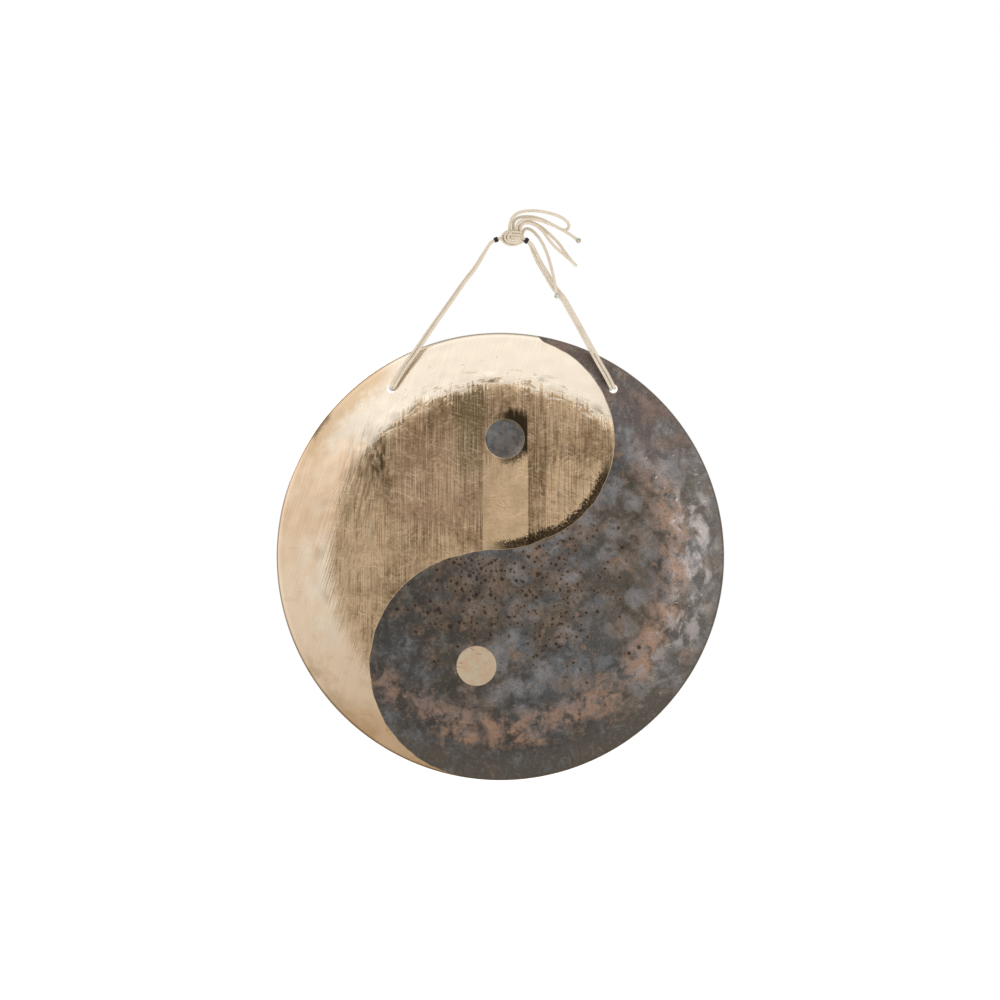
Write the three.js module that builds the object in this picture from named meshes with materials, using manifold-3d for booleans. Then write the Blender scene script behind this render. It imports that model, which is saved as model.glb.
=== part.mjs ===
import * as THREE from 'three';
import { mergeVertices } from 'three/addons/utils/BufferGeometryUtils.js';
import Module from 'manifold-3d';

// A tam tam: a thin hammered bronze disc that hangs on one doubled, knotted cord.
// Millimetres, +Z up, the struck face towards -Y. The origin is the underside of the knot,
// where a hook or peg bears inside the loop.

// ---- Driving dimensions ----

const DISC_RADIUS = 250;
const DISC_THICKNESS = 1.4;
const DISC_CENTRE = new THREE.Vector2(-13.5, -344.5); // x, z
const FACE_Y = -3.9; // puts the disc's centre of mass straight under the knot
const FLAT_RADIUS = 178; // the middle of the face is flat out to here
const FLARE_ANGLE = 11; // degrees by which the outer ring leans back
const FLARE_BEND_RADIUS = 80;
const LIP_ANGLE = 75; // degrees by which the edge is turned back
const LIP_BEND_RADIUS = 4;
const LIP_LENGTH = 2;
const DISC_SEGMENTS = 108;
const BEND_SHARES = [0, 1 / 3, 2 / 3, 1]; // where a bend's profile has its points

const HOLE_RADIUS = 5;
const HOLE_Z = -157.5;
const HOLE_XS = [-135.2, 112.2];
const HOLE_SEGMENTS = 24;
const DRILL_LENGTH = 60; // more than the disc is deep

const CORD_DIAMETER = 3.5;
const CORD_SIDES = 8;
const PAIR_SPACING = 3.8; // between the centres of the cord's two strands

const KNOT_CENTRE = [-0.4, 0, 9.9];
const KNOT_HALF_SIZE = [13.2, 8.6, 9.9];
const KNOT_SEGMENTS = 20;

const BAND_WALL = 0.7;
const BAND_CLEARANCE = 0.35; // between the binding and the strands inside it
const BAND_LENGTH = 4.8;
const BAND_PLACE = 0.55; // share of the way along the stretch of cord that it binds
const BAND_SEGMENTS = 8; // round each end of its oval section

const BEAD_LENGTH = 6.5;
const BEAD_RADIUS = 3;
const BEAD_GAP = 0.3; // between the bead and the end of its cord
const BEAD_SEGMENTS = 12;

// ---- Cord routes: hand-laid points, x y z ----

// The doubled stretches are laid along the middle of the pair. The fourth number is how far
// the pair is turned about its own line, in degrees: 0 is side by side across the face,
// and 90 is one strand behind the other.
const LEFT_LEG = [
  [-21.9, 0, 6.2, 90],
  [-24.2, 0, 4.6, 88],
  [-27.2, -0.1, 0.4, 84],
  [-32.6, -0.3, -8.4, 72],
  [-41.7, -0.6, -23.2, 62],
  [-53.0, -0.8, -37.9, 58],
  [-66.6, -1.2, -57.2, 54],
  [-80.2, -1.6, -76.4, 50],
  [-93.8, -2.0, -95.8, 40],
  [-107.4, -2.4, -116.1, 26],
  [-121.6, -2.9, -135.6, 14],
  [-130.9, -3.3, -150.7, 6],
  [-132.6, -2.4, -153.8, 2],
  [-133.5, -0.6, -155.6, 0],
];

const RIGHT_LEG = [
  [18.7, 0, 4.7, 78],
  [19.7, 0, 3.6, 74],
  [20.8, 0, 2.0, 67],
  [22.0, 0, -0.3, 56],
  [24.0, -0.1, -4.8, 38],
  [30.2, -0.3, -17.8, 16],
  [37.9, -0.6, -30.6, 12],
  [45.9, -0.9, -44.2, 10],
  [55.6, -1.1, -56.4, 12],
  [66.2, -1.5, -74.4, 14],
  [74.8, -1.8, -89.7, 12],
  [85.0, -2.2, -108.4, 10],
  [95.2, -2.6, -127.1, 8],
  [104.4, -3.1, -143.0, 6],
  [108.4, -3.3, -150.7, 4],
  [110.0, -2.4, -153.8, 2],
  [110.9, -0.6, -155.6, 0],
];

// Through the left hole, across the back and out of the right hole. Here 90 and -90 are
// side by side across the hole, and 0 is one strand above the other.
const BACK = [
  [-133.9, 0.7, -156.3, 90],
  [-134.2, 2.4, -156.8, 90],
  [-134.2, 5.2, -156.9, 80],
  [-133.2, 8.6, -156.6, 45],
  [-130.6, 11.0, -156.0, 20],
  [-126.6, 11.9, -155.6, 6],
  [-100, 11.9, -155.4, 0],
  [-60, 11.9, -155.7, 6],
  [-12, 11.9, -155.9, 14],
  [36, 11.9, -155.7, 6],
  [76, 11.9, -155.4, 0],
  [104, 11.9, -155.6, -6],
  [108.0, 11.0, -156.0, -20],
  [110.6, 8.6, -156.6, -45],
  [111.6, 5.2, -156.9, -80],
  [111.6, 2.4, -156.8, -90],
  [111.3, 0.7, -156.3, -90],
];

const LEFT_TOP = [
  [-14.4, 0, 9.4, 90],
  [-17.6, 0, 8.5, 90],
  [-21.1, 0, 6.7, 90],
];

const RIGHT_TOP = [
  [13.4, 0, 8.4, 80],
  [15.4, 0, 7.2, 80],
  [17.2, 0, 6.0, 80],
];

// The loose ends beyond the knot: two bights and two single ends.
const UPPER_LOOP = [
  [-3.2, -1.0, 20.2],
  [-3.0, -1.2, 24.0],
  [-2.0, -1.2, 28.4],
  [0.4, -1.0, 33.0],
  [4.9, -0.6, 37.0],
  [11.5, -0.2, 39.5],
  [19.1, 0, 40.3],
  [27.6, 0, 40.2],
  [36.1, -0.2, 38.9],
  [44.7, -0.8, 36.7],
  [52.2, -1.0, 33.9],
  [58.2, 0, 30.4],
  [62.2, 2.4, 26.4],
  [62.6, 5.4, 22.4],
  [59.2, 7.8, 19.8],
  [53.8, 8.0, 20.9],
  [46.4, 7.4, 24.7],
  [38.4, 6.4, 28.8],
  [30.6, 5.4, 32.1],
  [22.5, 4.8, 34.0],
  [14.9, 4.2, 34.5],
  [8.2, 3.6, 33.5],
  [3.4, 3.0, 31.0],
  [1.2, 2.4, 27.4],
  [0.8, 2.0, 23.8],
  [0.8, 1.8, 20.3],
];

const UPPER_END = [
  [4.6, -2.6, 19.6],
  [4.9, -3.0, 23.2],
  [6.8, -3.2, 26.6],
  [10.6, -3.2, 29.3],
  [16.4, -3.0, 30.9],
  [23.4, -2.6, 30.8],
  [30.2, -2.2, 29.5],
  [37.0, -1.8, 27.3],
  [43.8, -1.4, 24.7],
  [50.4, -1.0, 21.7],
  [56.6, -0.6, 18.5],
  [61.7, -0.3, 15.4],
  [66.3, -0.1, 12.3],
  [69.4, 0, 10.1],
  [71.2, 0, 8.8],
];

const LOWER_LOOP = [
  [8.8, -1.6, 18.0],
  [9.4, -2.6, 22.2],
  [12.0, -3.2, 25.4],
  [16.2, -3.2, 26.6],
  [20.8, -2.8, 26.0],
  [25.9, -2.4, 23.9],
  [31.0, -2.2, 20.0],
  [35.3, -2.2, 15.4],
  [39.1, -2.4, 10.0],
  [43.4, -3.0, 4.3],
  [48.9, -3.8, -1.6],
  [55.4, -4.8, -7.2],
  [61.4, -5.6, -12.4],
  [66.0, -5.6, -16.6],
  [69.4, -3.2, -19.6],
  [70.6, 0, -20.5],
  [69.4, 3.4, -19.2],
  [66.4, 5.6, -15.6],
  [61.8, 5.6, -9.6],
  [57.0, 4.8, -3.0],
  [51.6, 3.8, 4.2],
  [45.2, 2.9, 10.9],
  [38.8, 2.3, 16.9],
  [31.9, 2.1, 22.3],
  [25.1, 2.1, 26.2],
  [19.1, 2.1, 28.1],
  [13.6, 2.2, 27.3],
  [9.2, 2.8, 24.4],
  [6.6, 3.0, 20.0],
];

const LOWER_END_TOP = [
  [11.4, 4.0, 16.2],
  [12.8, 5.2, 19.4],
  [15.8, 5.6, 21.0],
  [19.8, 5.2, 20.0],
  [24.2, 3.8, 16.6],
  [28.4, 1.9, 11.8],
  [31.9, 0, 6.5],
];

const LOWER_END_HANG = [
  [32.8, -0.3, 5.1],
  [34.7, -1.0, 1.4],
  [36.8, -1.6, -3.4],
  [39.2, -2.6, -9.8],
  [41.2, -3.4, -16.4],
  [43.0, -4.4, -23.1],
  [44.6, -5.2, -29.8],
  [46.1, -5.8, -36.5],
  [47.3, -6.1, -42.6],
  [48.2, -6.2, -47.9],
  [48.9, -6.2, -52.0],
];

// ---- Materials ----

const bronze = () => new THREE.MeshStandardMaterial({ color: 0xb08d5e, roughness: 0.32, metalness: 1 });
const cordFibre = () => new THREE.MeshStandardMaterial({ color: 0xdccdb4, roughness: 0.8, metalness: 0 });
const blackThread = () => new THREE.MeshStandardMaterial({ color: 0x16130f, roughness: 0.75, metalness: 0 });
const meltedEnd = () => new THREE.MeshStandardMaterial({ color: 0x9c9c86, roughness: 0.35, metalness: 0 });

// ---- Curves and sections ----

const degrees = THREE.MathUtils.degToRad;
const vectors = (rows) => rows.map(([x, y, z]) => new THREE.Vector3(x, y, z));

// A smooth curve whose evenly spaced parameters land on its own points, so that a tube swept
// along it has its rings close together where the points are.
class LaidCurve extends THREE.CatmullRomCurve3 {
  getPointAt(u, target) {
    return this.getPoint(u, target);
  }

  getTangentAt(u, target) {
    return this.getTangent(u, target);
  }
}

const laid = (points) => new LaidCurve(points, false, 'centripetal');

// One strand of a doubled stretch. `across` is the direction in which an unturned pair lies.
function strandRoute(route, across, side) {
  const middle = laid(vectors(route));
  return route.map(([x, y, z, turn], i) => {
    const along = middle.getTangent(i / (route.length - 1));
    const level = across.clone().addScaledVector(along, -across.dot(along)).normalize();
    const square = along.clone().cross(level);
    const offset = level.multiplyScalar(Math.cos(degrees(turn)));
    offset.addScaledVector(square, Math.sin(degrees(turn)));
    return new THREE.Vector3(x, y, z).addScaledVector(offset, side * PAIR_SPACING / 2);
  });
}

function roundSection(radius, sides) {
  const corner = (i) => (2 * Math.PI * (i + 0.5)) / sides;
  const point = (i) => new THREE.Vector2(Math.cos(corner(i)), Math.sin(corner(i)));
  return new THREE.Shape(Array.from({ length: sides }, (_, i) => point(i).multiplyScalar(radius)));
}

// An oval with straight sides, as thread wound round two strands takes. It is longer along y.
function ovalPoints(radius) {
  const half = PAIR_SPACING / 2;
  const points = [];
  for (const end of [1, -1]) {
    for (let i = 0; i <= BAND_SEGMENTS; i += 1) {
      const angle = (Math.PI * i) / BAND_SEGMENTS;
      points.push(new THREE.Vector2(end * radius * Math.cos(angle), end * (half + radius * Math.sin(angle))));
    }
  }
  return points;
}

// ---- Solids ----

function cordGeometry(points) {
  const shape = roundSection(CORD_DIAMETER / 2, CORD_SIDES);
  return new THREE.ExtrudeGeometry(shape, { extrudePath: laid(points), steps: points.length - 1 });
}

// The front of the disc from its middle to the end of the turned-back lip, and the same line
// one sheet's thickness behind it.
function discProfile(depth) {
  const flare = degrees(FLARE_ANGLE);
  const lip = degrees(LIP_ANGLE);
  const bend = (centreR, centreY, radius, angle) =>
    new THREE.Vector2(centreR + radius * Math.sin(angle), centreY - radius * Math.cos(angle));
  const lipEndR = DISC_RADIUS - LIP_LENGTH * Math.cos(lip);
  const lipCentreR = lipEndR - LIP_BEND_RADIUS * Math.sin(lip);
  const flareStartR = FLAT_RADIUS + FLARE_BEND_RADIUS * Math.sin(flare);
  const flareStartY = FLARE_BEND_RADIUS * (1 - Math.cos(flare));
  const flareEndR = lipCentreR + LIP_BEND_RADIUS * Math.sin(flare);
  const flareEndY = flareStartY + (flareEndR - flareStartR) * Math.tan(flare);
  const lipCentreY = flareEndY + LIP_BEND_RADIUS * Math.cos(flare);
  const points = [new THREE.Vector2(0, depth)];
  for (const share of BEND_SHARES) {
    points.push(bend(FLAT_RADIUS, FLARE_BEND_RADIUS, FLARE_BEND_RADIUS - depth, flare * share));
  }
  for (const share of BEND_SHARES) {
    const angle = flare + (lip - flare) * share;
    points.push(bend(lipCentreR, lipCentreY, LIP_BEND_RADIUS - depth, angle));
  }
  const run = new THREE.Vector2(Math.cos(lip), Math.sin(lip)).multiplyScalar(LIP_LENGTH);
  points.push(points[points.length - 1].clone().add(run));
  return points;
}

const wasm = await Module();
wasm.setup();

function toSolid(geometry) {
  const bare = geometry.clone();
  bare.deleteAttribute('normal');
  bare.deleteAttribute('uv');
  const merged = mergeVertices(bare);
  return new wasm.Manifold(new wasm.Mesh({
    numProp: 3,
    vertProperties: new Float32Array(merged.attributes.position.array),
    triVerts: new Uint32Array(merged.index.array),
  }));
}

function fromSolid(solid) {
  const mesh = solid.getMesh();
  const geometry = new THREE.BufferGeometry();
  geometry.setAttribute('position', new THREE.BufferAttribute(mesh.vertProperties, 3));
  geometry.setIndex(new THREE.BufferAttribute(mesh.triVerts, 1));
  geometry.computeVertexNormals();
  return geometry;
}

function discGeometry() {
  const profile = [...discProfile(0), ...discProfile(DISC_THICKNESS).reverse()];
  const sheet = new THREE.LatheGeometry(profile, DISC_SEGMENTS);
  sheet.translate(DISC_CENTRE.x, FACE_Y, DISC_CENTRE.y);
  let solid = toSolid(sheet);
  for (const x of HOLE_XS) {
    const drill = new THREE.CylinderGeometry(HOLE_RADIUS, HOLE_RADIUS, DRILL_LENGTH, HOLE_SEGMENTS);
    drill.translate(x, 0, HOLE_Z);
    solid = solid.subtract(toSolid(drill));
  }
  return fromSolid(solid);
}

function knotGeometry() {
  const ball = new THREE.SphereGeometry(1, KNOT_SEGMENTS, KNOT_SEGMENTS / 2);
  ball.scale(...KNOT_HALF_SIZE);
  return ball;
}

// An oval sleeve of wound thread, its length along z until it is placed.
function bandGeometry() {
  const inner = CORD_DIAMETER / 2 + BAND_CLEARANCE;
  const shape = new THREE.Shape(ovalPoints(inner + BAND_WALL));
  shape.holes.push(new THREE.Path(ovalPoints(inner)));
  const sleeve = new THREE.ExtrudeGeometry(shape, { depth: BAND_LENGTH, bevelEnabled: false });
  return sleeve.translate(0, 0, -BAND_LENGTH / 2);
}

// A melted blob on a cut cord, along y: as wide as the cord where it starts, widest just past
// half its length, and rounded beyond. Each point is a share of its radius and of its length.
const BEAD_PROFILE = [[0, 0], [0.58, 0], [0.7, 0.2], [1, 0.55], [0.85, 0.85], [0.4, 1], [0, 1]];

function beadGeometry() {
  const point = ([radius, length]) => new THREE.Vector2(radius * BEAD_RADIUS, length * BEAD_LENGTH);
  return new THREE.LatheGeometry(BEAD_PROFILE.map(point), BEAD_SEGMENTS);
}

// ---- Assembly ----

const tamTam = new THREE.Group();

function add(name, geometry, material) {
  const mesh = new THREE.Mesh(geometry, material);
  mesh.name = name;
  tamTam.add(mesh);
  return mesh;
}

function addPair(name, route, across) {
  add(`${name}_1`, cordGeometry(strandRoute(route, across, 1)), cordFibre());
  add(`${name}_2`, cordGeometry(strandRoute(route, across, -1)), cordFibre());
}

// A binding round the doubled cord, on the short stretch that leaves the knot.
function addBand(name, route) {
  const middle = laid(vectors(route));
  const band = add(name, bandGeometry(), blackThread());
  const along = middle.getTangent(BAND_PLACE);
  const turn = degrees(route[0][3] - 90);
  const level = new THREE.Vector3(0, 1, 0).applyAxisAngle(along, turn);
  const basis = new THREE.Matrix4().makeBasis(level.clone().cross(along), level, along);
  band.quaternion.setFromRotationMatrix(basis);
  band.position.copy(middle.getPoint(BAND_PLACE));
}

function addBead(name, route) {
  const end = laid(vectors(route));
  const bead = add(name, beadGeometry(), meltedEnd());
  const along = end.getTangent(1);
  bead.quaternion.setFromUnitVectors(new THREE.Vector3(0, 1, 0), along);
  bead.position.copy(end.getPoint(1)).addScaledVector(along, BEAD_GAP);
}

const acrossFace = new THREE.Vector3(1, 0, 0);
const upright = new THREE.Vector3(0, 0, 1);

add('gong_disc', discGeometry(), bronze());
add('hanging_knot', knotGeometry(), cordFibre()).position.set(...KNOT_CENTRE);

addPair('cord_top_left', LEFT_TOP, acrossFace);
addPair('cord_top_right', RIGHT_TOP, acrossFace);
addBand('thread_binding_left', LEFT_TOP);
addBand('thread_binding_right', RIGHT_TOP);

addPair('cord_leg_left', LEFT_LEG, acrossFace);
addPair('cord_leg_right', RIGHT_LEG, acrossFace);
addPair('cord_back', BACK, upright);

add('tail_loop_upper', cordGeometry(vectors(UPPER_LOOP)), cordFibre());
add('tail_loop_lower', cordGeometry(vectors(LOWER_LOOP)), cordFibre());
add('tail_end_upper', cordGeometry(vectors(UPPER_END)), cordFibre());
add('tail_end_lower_top', cordGeometry(vectors(LOWER_END_TOP)), cordFibre());
add('tail_end_lower_hang', cordGeometry(vectors(LOWER_END_HANG)), cordFibre());
addBead('tail_bead_upper', UPPER_END);
addBead('tail_bead_lower', LOWER_END_HANG);

export default tamTam;
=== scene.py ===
"""A tam tam: a hammered bronze disc, half bright and half dark, that hangs on a knotted cord.

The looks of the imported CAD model, in its frame: metres, +Z up, the struck face towards -Y.
The origin is the underside of the knot.
"""

import math
import random

import bpy
import numpy as np
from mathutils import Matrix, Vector


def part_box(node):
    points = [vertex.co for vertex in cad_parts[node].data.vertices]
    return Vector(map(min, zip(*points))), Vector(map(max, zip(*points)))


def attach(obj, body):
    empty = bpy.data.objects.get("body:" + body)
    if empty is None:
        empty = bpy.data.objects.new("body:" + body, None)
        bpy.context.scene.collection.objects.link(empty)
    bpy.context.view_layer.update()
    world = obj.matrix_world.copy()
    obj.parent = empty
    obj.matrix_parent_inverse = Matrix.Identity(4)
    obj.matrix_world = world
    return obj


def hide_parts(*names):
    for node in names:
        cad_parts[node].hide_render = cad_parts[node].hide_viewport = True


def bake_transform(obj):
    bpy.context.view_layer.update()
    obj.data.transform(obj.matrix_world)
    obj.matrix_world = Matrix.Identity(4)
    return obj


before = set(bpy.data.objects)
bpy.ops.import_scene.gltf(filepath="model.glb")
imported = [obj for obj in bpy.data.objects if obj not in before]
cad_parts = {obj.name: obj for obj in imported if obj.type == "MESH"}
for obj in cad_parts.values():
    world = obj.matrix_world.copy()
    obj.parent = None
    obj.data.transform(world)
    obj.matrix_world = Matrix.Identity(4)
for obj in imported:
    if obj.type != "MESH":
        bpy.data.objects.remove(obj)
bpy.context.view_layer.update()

# ---- Driving dimensions ----

CORD_DIAMETER = 0.0035
CORD_SIDES = 24
CORD_STEP = 0.0004  # between the rings of points along a cord
CURVE_POINTS = 24  # worked out between two laid points of a cord
PAIR_SPACING = 0.0038  # between the centres of the doubled cord's two strands
ROOT_LENGTH = 0.007  # how far a loose end's cord runs on inside the knot
BRAID_CARRIERS = 6  # strands that run each way round the cord
BRAID_PITCH = 0.0020  # from one crossing to the next along the cord
BRAID_DEPTH = 0.00014
TOP_STRETCH = 0.038  # of each leg, from inside the knot to where it only swings

DISC_LOW, DISC_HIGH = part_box("gong_disc")
DISC_RADIUS = (DISC_HIGH.x - DISC_LOW.x) / 2
DISC_CENTRE = Vector(((DISC_LOW.x + DISC_HIGH.x) / 2, DISC_LOW.y, (DISC_LOW.z + DISC_HIGH.z) / 2))
SHEET_THICKNESS = 0.0014
FLAT_RADIUS = 0.178  # the middle of the face is flat out to here
FLARE_ANGLE = math.radians(11)  # by which the outer ring leans back
FLARE_BEND_RADIUS = 0.08
LIP_ANGLE = math.radians(75)  # by which the edge is turned back
LIP_BEND_RADIUS = 0.004
LIP_LENGTH = 0.002
HOLE_RADIUS = 0.005
HOLE_Z = -0.1575
HOLE_XS = (-0.1352, 0.1122)

CAMERA_DISTANCE = 3.0
FRAME_WIDTH = 1.1111  # what the camera sees across, at the disc
FRAME_CENTRE = (-0.0139, -0.2814)  # x, z
FLOOR_DROP = 0.4  # below the lowest point of the disc

# ---- Cord routes: listed points, x y z ----

# The doubled stretches are laid along the middle of the pair. The fourth number is how far
# the pair is turned about its own line, in degrees: 0 is side by side across the face,
# and 90 is one strand behind the other.
LEFT_LEG = [
    (-0.0219, 0, 0.0062, 90), (-0.0242, 0, 0.0046, 88), (-0.0272, -0.0001, 0.0004, 84),
    (-0.0326, -0.0003, -0.0084, 72), (-0.0417, -0.0006, -0.0232, 62), (-0.053, -0.0008, -0.0379, 58),
    (-0.0666, -0.0012, -0.0572, 54), (-0.0802, -0.0016, -0.0764, 50), (-0.0938, -0.002, -0.0958, 40),
    (-0.1074, -0.0024, -0.1161, 26), (-0.1216, -0.0029, -0.1356, 14), (-0.1309, -0.0033, -0.1507, 6),
    (-0.1326, -0.0024, -0.1538, 2), (-0.1335, -0.0006, -0.1556, 0),
]

RIGHT_LEG = [
    (0.0187, 0, 0.0047, 78), (0.0197, 0, 0.0036, 74), (0.0208, 0, 0.002, 67), (0.022, 0, -0.0003, 56),
    (0.024, -0.0001, -0.0048, 38), (0.0302, -0.0003, -0.0178, 16), (0.0379, -0.0006, -0.0306, 12),
    (0.0459, -0.0009, -0.0442, 10), (0.0556, -0.0011, -0.0564, 12), (0.0662, -0.0015, -0.0744, 14),
    (0.0748, -0.0018, -0.0897, 12), (0.085, -0.0022, -0.1084, 10), (0.0952, -0.0026, -0.1271, 8),
    (0.1044, -0.0031, -0.143, 6), (0.1084, -0.0033, -0.1507, 4), (0.11, -0.0024, -0.1538, 2),
    (0.1109, -0.0006, -0.1556, 0),
]

BACK = [
    (-0.1339, 0.0007, -0.1563, 90), (-0.1342, 0.0024, -0.1568, 90), (-0.1342, 0.0052, -0.1569, 80),
    (-0.1332, 0.0086, -0.1566, 45), (-0.1306, 0.011, -0.156, 20), (-0.1266, 0.0119, -0.1556, 6),
    (-0.1, 0.0119, -0.1554, 0), (-0.06, 0.0119, -0.1557, 6), (-0.012, 0.0119, -0.1559, 14),
    (0.036, 0.0119, -0.1557, 6), (0.076, 0.0119, -0.1554, 0), (0.104, 0.0119, -0.1556, -6),
    (0.108, 0.011, -0.156, -20), (0.1106, 0.0086, -0.1566, -45), (0.1116, 0.0052, -0.1569, -80),
    (0.1116, 0.0024, -0.1568, -90), (0.1113, 0.0007, -0.1563, -90),
]

LEFT_TOP = [
    (-0.0144, 0, 0.0094, 90), (-0.0176, 0, 0.0085, 90), (-0.0211, 0, 0.0067, 90),
]

RIGHT_TOP = [
    (0.0134, 0, 0.0084, 80), (0.0154, 0, 0.0072, 80), (0.0172, 0, 0.006, 80),
]

UPPER_LOOP = [
    (-0.0032, -0.001, 0.0202), (-0.003, -0.0012, 0.024), (-0.002, -0.0012, 0.0284),
    (0.0004, -0.001, 0.033), (0.0049, -0.0006, 0.037), (0.0115, -0.0002, 0.0395), (0.0191, 0, 0.0403),
    (0.0276, 0, 0.0402), (0.0361, -0.0002, 0.0389), (0.0447, -0.0008, 0.0367), (0.0522, -0.001, 0.0339),
    (0.0582, 0, 0.0304), (0.0622, 0.0024, 0.0264), (0.0626, 0.0054, 0.0224), (0.0592, 0.0078, 0.0198),
    (0.0538, 0.008, 0.0209), (0.0464, 0.0074, 0.0247), (0.0384, 0.0064, 0.0288),
    (0.0306, 0.0054, 0.0321), (0.0225, 0.0048, 0.034), (0.0149, 0.0042, 0.0345),
    (0.0082, 0.0036, 0.0335), (0.0034, 0.003, 0.031), (0.0012, 0.0024, 0.0274), (0.0008, 0.002, 0.0238),
    (0.0008, 0.0018, 0.0203),
]

UPPER_END = [
    (0.0046, -0.0026, 0.0196), (0.0049, -0.003, 0.0232), (0.0068, -0.0032, 0.0266),
    (0.0106, -0.0032, 0.0293), (0.0164, -0.003, 0.0309), (0.0234, -0.0026, 0.0308),
    (0.0302, -0.0022, 0.0295), (0.037, -0.0018, 0.0273), (0.0438, -0.0014, 0.0247),
    (0.0504, -0.001, 0.0217), (0.0566, -0.0006, 0.0185), (0.0617, -0.0003, 0.0154),
    (0.0663, -0.0001, 0.0123), (0.0694, 0, 0.0101), (0.0712, 0, 0.0088),
]

LOWER_LOOP = [
    (0.0088, -0.0016, 0.018), (0.0094, -0.0026, 0.0222), (0.012, -0.0032, 0.0254),
    (0.0162, -0.0032, 0.0266), (0.0208, -0.0028, 0.026), (0.0259, -0.0024, 0.0239),
    (0.031, -0.0022, 0.02), (0.0353, -0.0022, 0.0154), (0.0391, -0.0024, 0.01), (0.0434, -0.003, 0.0043),
    (0.0489, -0.0038, -0.0016), (0.0554, -0.0048, -0.0072), (0.0614, -0.0056, -0.0124),
    (0.066, -0.0056, -0.0166), (0.0694, -0.0032, -0.0196), (0.0706, 0, -0.0205),
    (0.0694, 0.0034, -0.0192), (0.0664, 0.0056, -0.0156), (0.0618, 0.0056, -0.0096),
    (0.057, 0.0048, -0.003), (0.0516, 0.0038, 0.0042), (0.0452, 0.0029, 0.0109),
    (0.0388, 0.0023, 0.0169), (0.0319, 0.0021, 0.0223), (0.0251, 0.0021, 0.0262),
    (0.0191, 0.0021, 0.0281), (0.0136, 0.0022, 0.0273), (0.0092, 0.0028, 0.0244), (0.0066, 0.003, 0.02),
]

LOWER_END_TOP = [
    (0.0114, 0.004, 0.0162), (0.0128, 0.0052, 0.0194), (0.0158, 0.0056, 0.021), (0.0198, 0.0052, 0.02),
    (0.0242, 0.0038, 0.0166), (0.0284, 0.0019, 0.0118), (0.0319, 0, 0.0065),
]

LOWER_END_HANG = [
    (0.0328, -0.0003, 0.0051), (0.0347, -0.001, 0.0014), (0.0368, -0.0016, -0.0034),
    (0.0392, -0.0026, -0.0098), (0.0412, -0.0034, -0.0164), (0.043, -0.0044, -0.0231),
    (0.0446, -0.0052, -0.0298), (0.0461, -0.0058, -0.0365), (0.0473, -0.0061, -0.0426),
    (0.0482, -0.0062, -0.0479), (0.0489, -0.0062, -0.052),
]

# ---- Lines through points ----


def distances_along(line):
    return np.concatenate([[0], np.cumsum(np.linalg.norm(np.diff(line, axis=0), axis=1))])


def resampled(line, step):
    """The same line with points in even steps of about that length."""
    along = distances_along(line)
    at = np.linspace(0, along[-1], max(2, round(along[-1] / step) + 1))
    return np.stack([np.interp(at, along, line[:, k]) for k in range(3)], axis=1)


def extended(points):
    """The points with one more before and after them, straight on."""
    p = np.array(points, float)
    return np.vstack([2 * p[0] - p[1], p, 2 * p[-1] - p[-2]])


def laid_line(points, step=CORD_STEP):
    """A smooth line through given points: a centripetal Catmull-Rom curve, in even steps."""
    p = extended(points)
    parts = []

    def part(a, b, start, end):
        return a + (b - a) * (t - start) / (end - start)

    for a, b, c, d in zip(p, p[1:], p[2:], p[3:]):
        t1 = math.sqrt(math.dist(a, b))
        t2 = t1 + math.sqrt(math.dist(b, c))
        t3 = t2 + math.sqrt(math.dist(c, d))
        t = np.linspace(t1, t2, CURVE_POINTS, endpoint=False)[:, None]
        bc = part(b, c, t1, t2)
        abc = part(part(a, b, 0, t1), bc, 0, t2)
        bcd = part(bc, part(c, d, t2, t3), t1, t3)
        parts.append(part(abc, bcd, t1, t2))
    return resampled(np.vstack([*parts, p[-2:-1]]), step)


def unit(vectors):
    return vectors / np.linalg.norm(vectors, axis=-1, keepdims=True)


def route_directions(points):
    """The direction of the laid line at each of its own points."""
    p = extended(points)
    steps = np.diff(p, axis=0)
    times = np.sqrt(np.linalg.norm(steps, axis=1))[:, None]
    before, after = times[:-1], times[1:]
    across = p[2:] - p[:-2]
    return unit(steps[:-1] / before - across / (before + after) + steps[1:] / after)


def strand_points(route, across, side):
    """One strand of a doubled stretch. across is the way in which an unturned pair lies."""
    middle = np.array([row[:3] for row in route], float)
    turn = np.radians([row[3] for row in route])[:, None]
    along = route_directions(middle)
    across = np.array(across, float)
    level = unit(across - along * (along @ across)[:, None])
    square = np.cross(along, level)
    return middle + (level * np.cos(turn) + square * np.sin(turn)) * side * PAIR_SPACING / 2


def carried_frames(line):
    """Two directions square to the line at each point, carried along it without twisting."""
    along = unit(np.gradient(line, axis=0))
    start = np.cross(along[0], (0, 1, 0))
    if np.linalg.norm(start) < 0.1:
        start = np.cross(along[0], (1, 0, 0))
    side = [unit(start)]
    for way in along[1:]:
        side.append(unit(side[-1] - way * (side[-1] @ way)))
    return np.array(side), np.cross(along, side)


# ---- Tubes ----


def braid(along, angle):
    """How high a braided cord's surface stands, 0 to 1: two sets of strands, over and under."""
    one = BRAID_CARRIERS * angle / (2 * np.pi) + along / BRAID_PITCH
    other = BRAID_CARRIERS * angle / (2 * np.pi) - along / BRAID_PITCH
    one_is_over = (np.floor(one) + np.floor(other)) % 2 == 0
    over = np.where(one_is_over, one, other) % 1
    under = np.where(one_is_over, other, one) % 1
    return np.sin(np.pi * over) * (0.6 + 0.4 * np.sin(np.pi * under))


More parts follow.
